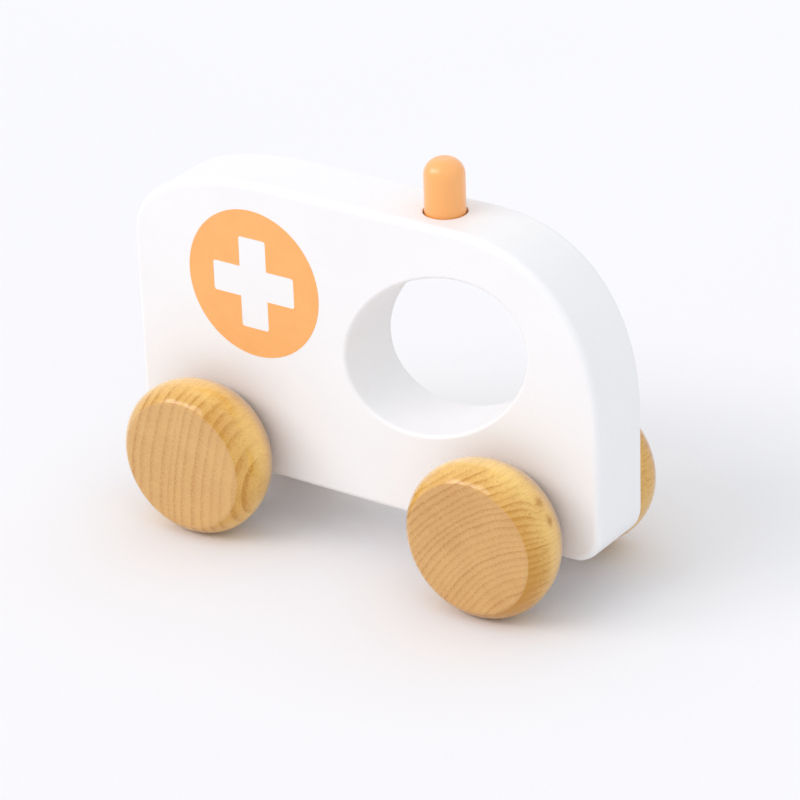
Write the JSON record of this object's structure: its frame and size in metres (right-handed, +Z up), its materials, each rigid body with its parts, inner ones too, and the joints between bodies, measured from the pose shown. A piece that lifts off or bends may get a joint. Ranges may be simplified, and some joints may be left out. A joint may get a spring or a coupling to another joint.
{
  "type": "toy ambulance",
  "caption": "Wooden push-along toy ambulance: painted board body with an oval grip hole, a domed beacon peg, a printed cross emblem and turned wheels on dowel axles.",
  "frame": {"origin": "middle of the vehicle at the level of the floor that its wheels stand on", "axes": "+X is the driving direction, +Y is the left side along the axles, +Z is up"},
  "size_m": [0.134, 0.057, 0.1044],
  "materials": {
    "white_paint": "smooth satin white paint on wood",
    "orange_paint": "smooth satin pastel orange paint on wood",
    "orange_print": "thin matte pastel orange printing ink",
    "beech": "turned and waxed beech, end grain on the flat faces",
    "dowel": "plain sanded beech dowel"
  },
  "bodies": {
    "car_body": {"body": "white_paint", "beacon": "orange_paint", "emblem_left": "orange_print", "emblem_right": "orange_print"},
    "front_wheelset": {"front_axle": "dowel", "wheel_front_left": "beech", "wheel_front_right": "beech"},
    "rear_wheelset": {"rear_axle": "dowel", "wheel_rear_left": "beech", "wheel_rear_right": "beech"}
  },
  "joints": [
    {"name": "front_wheels_roll", "type": "hinge", "parent": "car_body", "child": "front_wheelset", "pos_m": [0.042, 0, 0.02], "axis": [0, 1, 0], "continuous": true},
    {"name": "rear_wheels_roll", "type": "hinge", "parent": "car_body", "child": "rear_wheelset", "pos_m": [-0.042, 0, 0.02], "axis": [0, 1, 0], "continuous": true}
  ]
}
